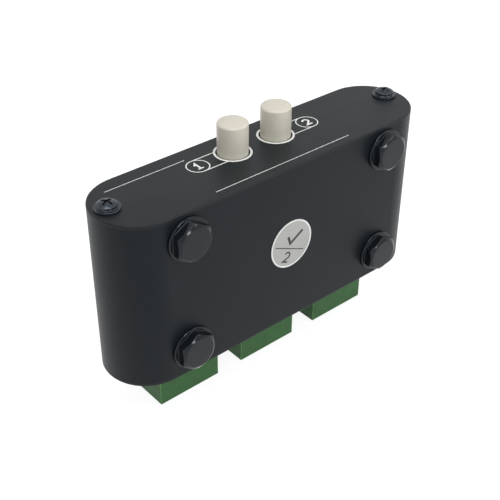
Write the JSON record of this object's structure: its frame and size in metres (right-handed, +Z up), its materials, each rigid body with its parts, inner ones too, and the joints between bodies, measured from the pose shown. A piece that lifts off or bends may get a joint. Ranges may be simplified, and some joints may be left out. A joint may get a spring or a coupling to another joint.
{
  "type": "speaker selector switch",
  "caption": "Flat oval case with two push buttons on top, pluggable terminal blocks below and hex-headed feet on one face.",
  "frame": {"origin": "on the underside of the middle terminal plug, straight below the case's axis, at the level the switch stands on", "axes": "+X along the case, -Y out of the face with the four feet, +Z up, from the terminal plugs to the buttons"},
  "size_m": [0.105, 0.0286, 0.0757],
  "materials": {
    "case_paint": "satin black anodised",
    "black_screw": "blackened steel, slightly glossy",
    "foot_gloss": "glossy black",
    "label_paper": "silvery white film",
    "board_green": "solder mask over glass laminate",
    "tin": "tin plated",
    "steel": "bright plated",
    "terminal_green": "moulded, faintly glossy green",
    "base_brown": "pressed laminate",
    "slider_white": "moulded",
    "wiper_brass": "stamped",
    "cap_cream": "moulded, satin cream"
  },
  "bodies": {
    "case": {"case_tube": "case_paint", "top_panel": "case_paint", "bottom_panel": "case_paint", "top_panel_screws": "black_screw", "bottom_panel_screws": "black_screw", "foot_bolts": "foot_gloss", "foot_nuts": "foot_gloss", "inspection_label": "label_paper", "circuit_board": "board_green", "header_1": "terminal_green", "header_2": "terminal_green", "header_3": "terminal_green", "header_pins": "tin", "switch_cover_a": "steel", "switch_cover_b": "steel", "switch_base_a": "base_brown", "switch_base_b": "base_brown", "switch_terminals": "tin", "return_spring_a": "steel", "return_spring_b": "steel", "latch_wire_a": "steel", "latch_wire_b": "steel"},
    "button_a": {"button_cap_a": "cap_cream", "switch_slider_a": "slider_white", "wiper_clips_a": "wiper_brass"},
    "button_b": {"button_cap_b": "cap_cream", "switch_slider_b": "slider_white", "wiper_clips_b": "wiper_brass"},
    "terminal_plug_1": {"plug_1": "terminal_green", "clamp_contacts_1": "tin", "clamp_cages_1": "tin", "clamp_screws_1": "steel"},
    "terminal_plug_2": {"plug_2": "terminal_green", "clamp_contacts_2": "tin", "clamp_cages_2": "tin", "clamp_screws_2": "steel"},
    "terminal_plug_3": {"plug_3": "terminal_green", "clamp_contacts_3": "tin", "clamp_cages_3": "tin", "clamp_screws_3": "steel"}
  },
  "joints": [
    {"name": "button_a_press", "type": "slide", "parent": "case", "child": "button_a", "axis": [0, 0, -1], "range_m": [0, 0.0045], "stiffness_N_per_m": 350, "springref_m": -0.004, "deforming": ["return_spring_a"]},
    {"name": "button_b_press", "type": "slide", "parent": "case", "child": "button_b", "axis": [0, 0, -1], "range_m": [0, 0.0045], "stiffness_N_per_m": 350, "springref_m": -0.004, "deforming": ["return_spring_b"]},
    {"name": "plug_1_pull", "type": "slide", "parent": "case", "child": "terminal_plug_1", "axis": [0, 0, -1], "range_m": [0, 0.01]},
    {"name": "plug_2_pull", "type": "slide", "parent": "case", "child": "terminal_plug_2", "axis": [0, 0, -1], "range_m": [0, 0.01]},
    {"name": "plug_3_pull", "type": "slide", "parent": "case", "child": "terminal_plug_3", "axis": [0, 0, -1], "range_m": [0, 0.01]}
  ]
}
